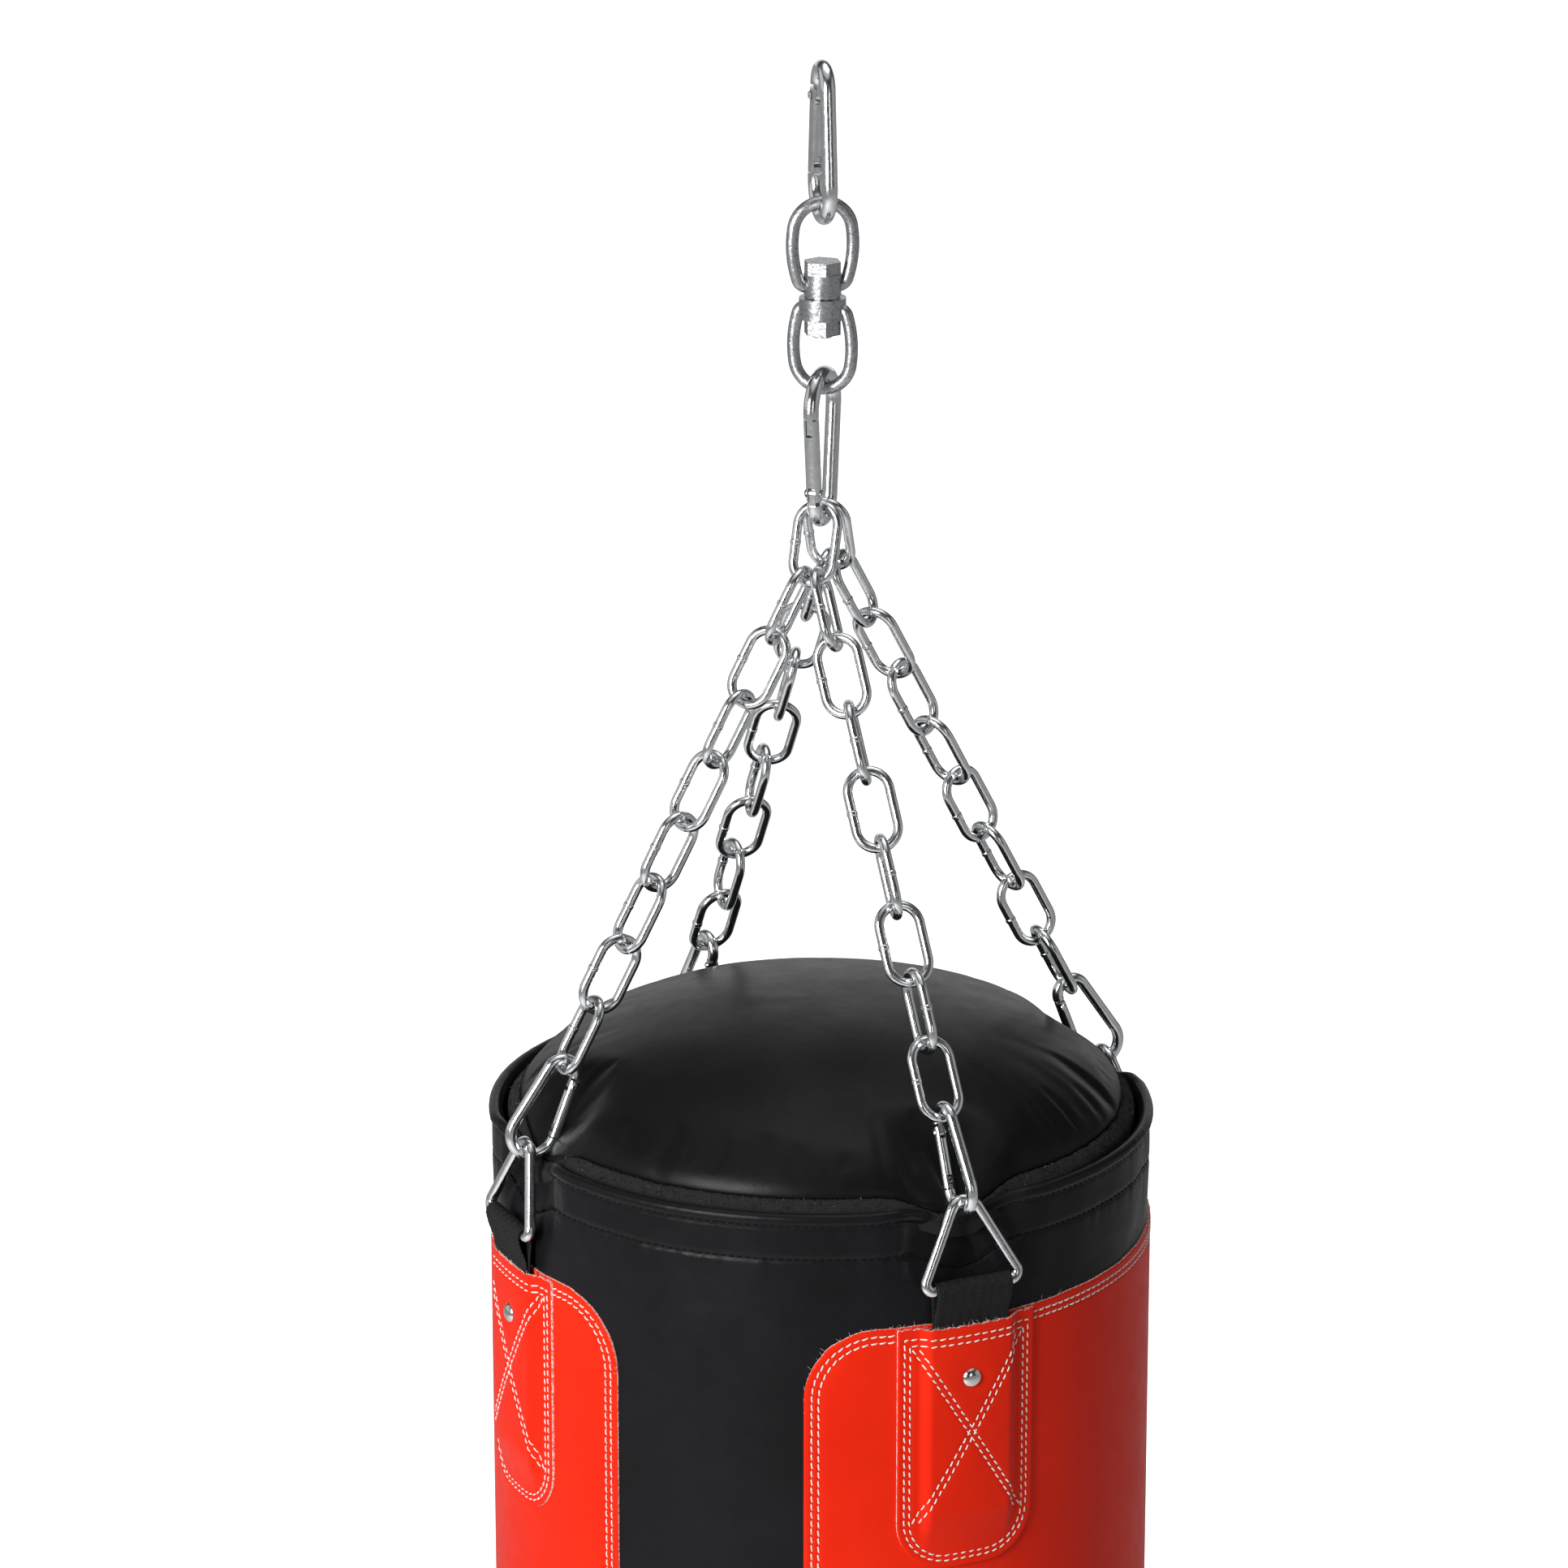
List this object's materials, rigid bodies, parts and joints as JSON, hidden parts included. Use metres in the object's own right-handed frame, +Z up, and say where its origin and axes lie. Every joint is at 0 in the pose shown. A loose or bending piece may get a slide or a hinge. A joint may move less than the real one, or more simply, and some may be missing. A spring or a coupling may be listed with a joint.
{
  "type": "hanging punching bag",
  "caption": "Hanging cylindrical punching bag with a four-leg chain harness, a swivel and snap hooks, ready to hang from an eye.",
  "frame": {"origin": "inside of the top snap hook's narrow end, where it hangs from a ceiling eye", "axes": "+Z up along the hanging bag's axis; -Y is the front, the middle of a black stripe; the four chain legs leave at 45 degrees to X and Y"},
  "size_m": [0.35, 0.3468, 1.5518],
  "materials": {
    "zinc_steel": "bright zinc plate",
    "spring_steel": "bare spring wire",
    "bearing": "turned",
    "rivet_nickel": "polished nickel",
    "webbing": "coarse woven polyester",
    "black_sheet": "fine-grained coated fabric, semi-gloss",
    "cover_sheet": "smooth coated fabric, satin",
    "tape": "fuzzy woven closure tape",
    "red_sheet": "fine-grained coated fabric, semi-gloss",
    "foam": "closed-cell foam",
    "filling": "packed textile shreds"
  },
  "bodies": {
    "top_hook": {"top_hook_body": "zinc_steel", "top_hook_rivet": "zinc_steel"},
    "top_gate": {"top_hook_gate": "zinc_steel", "top_hook_spring": "spring_steel"},
    "swivel_upper": {"swivel_upper_eye": "zinc_steel", "swivel_bolt": "zinc_steel", "swivel_head_washer": "zinc_steel", "swivel_thrust_washer": "bearing", "swivel_nut": "zinc_steel"},
    "swivel_lower": {"swivel_lower_eye": "zinc_steel", "swivel_bush": "bearing"},
    "lower_hook": {"lower_hook_body": "zinc_steel", "lower_hook_rivet": "zinc_steel"},
    "lower_gate": {"lower_hook_gate": "zinc_steel", "lower_hook_spring": "spring_steel"},
    "corner_gate_front_right": {"snap_gate_front_right": "zinc_steel"},
    "corner_gate_front_left": {"snap_gate_front_left": "zinc_steel"},
    "corner_gate_rear_right": {"snap_gate_rear_right": "zinc_steel"},
    "corner_gate_rear_left": {"snap_gate_rear_left": "zinc_steel"},
    "bag": {"front_master_link": "zinc_steel", "rear_master_link": "zinc_steel", "chain_front_right": "zinc_steel", "chain_front_left": "zinc_steel", "chain_rear_right": "zinc_steel", "chain_rear_left": "zinc_steel", "snap_body_front_right": "zinc_steel", "snap_body_front_left": "zinc_steel", "snap_body_rear_right": "zinc_steel", "snap_body_rear_left": "zinc_steel", "snap_rivet_front_right": "zinc_steel", "snap_rivet_front_left": "zinc_steel", "snap_rivet_rear_right": "zinc_steel", "snap_rivet_rear_left": "zinc_steel", "ring_front_right": "zinc_steel", "ring_front_left": "zinc_steel", "ring_rear_right": "zinc_steel", "ring_rear_left": "zinc_steel", "strap_front_right": "webbing", "strap_front_left": "webbing", "strap_rear_right": "webbing", "strap_rear_left": "webbing", "tab_front_right": "red_sheet", "tab_front_left": "red_sheet", "tab_rear_right": "red_sheet", "tab_rear_left": "red_sheet", "tab_rivets": "rivet_nickel", "tab_rivet_washers": "rivet_nickel", "collar": "black_sheet", "top_cover": "cover_sheet", "closure_tape": "tape", "side_shell": "black_sheet", "red_panel_right": "red_sheet", "red_panel_left": "red_sheet", "base_disc": "black_sheet", "foam_layer": "foam", "filling": "filling"}
  },
  "joints": [
    {"name": "top_gate_hinge", "type": "hinge", "parent": "top_hook", "child": "top_gate", "pos_m": [-0.00642, 0.01028, -0.01213], "axis": [-0.848, -0.5299, 0], "range_deg": [0, 24], "stiffness_Nm_per_rad": 0.05, "springref_deg": -20.05},
    {"name": "swivel_swing", "type": "hinge", "parent": "top_hook", "child": "swivel_upper", "pos_m": [0, 0, -0.072], "axis": [-0.5299, 0.848, 0], "range_deg": [-30, 30]},
    {"name": "swivel_spin", "type": "hinge", "parent": "swivel_upper", "child": "swivel_lower", "pos_m": [0, 0, -0.11885], "axis": [0, 0, 1], "continuous": true},
    {"name": "lower_hook_swing", "type": "hinge", "parent": "swivel_lower", "child": "lower_hook", "pos_m": [0, 0, -0.1609], "axis": [1, 0, 0], "range_deg": [-30, 30]},
    {"name": "lower_gate_hinge", "type": "hinge", "parent": "lower_hook", "child": "lower_gate", "pos_m": [0, -0.01212, -0.21327], "axis": [-1, 0, 0], "range_deg": [0, 24], "stiffness_Nm_per_rad": 0.05, "springref_deg": -20.05},
    {"name": "bag_swing", "type": "hinge", "parent": "lower_hook", "child": "bag", "pos_m": [0, 0, -0.2294], "axis": [0, 1, 0], "range_deg": [-30, 30]},
    {"name": "corner_gate_hinge_front_right", "type": "hinge", "parent": "bag", "child": "corner_gate_front_right", "pos_m": [0.09993, -0.10192, -0.51558], "axis": [-0.6678, -0.7444, 0], "range_deg": [0, 24], "stiffness_Nm_per_rad": 0.03, "springref_deg": -20.05},
    {"name": "corner_gate_hinge_front_left", "type": "hinge", "parent": "bag", "child": "corner_gate_front_left", "pos_m": [-0.09993, -0.10192, -0.51558], "axis": [-0.6678, 0.7444, 0], "range_deg": [0, 24], "stiffness_Nm_per_rad": 0.03, "springref_deg": -20.05},
    {"name": "corner_gate_hinge_rear_right", "type": "hinge", "parent": "bag", "child": "corner_gate_rear_right", "pos_m": [0.09993, 0.10192, -0.51558], "axis": [0.6678, -0.7444, 0], "range_deg": [0, 24], "stiffness_Nm_per_rad": 0.03, "springref_deg": -20.05},
    {"name": "corner_gate_hinge_rear_left", "type": "hinge", "parent": "bag", "child": "corner_gate_rear_left", "pos_m": [-0.09993, 0.10192, -0.51558], "axis": [0.6678, 0.7444, 0], "range_deg": [0, 24], "stiffness_Nm_per_rad": 0.03, "springref_deg": -20.05}
  ]
}
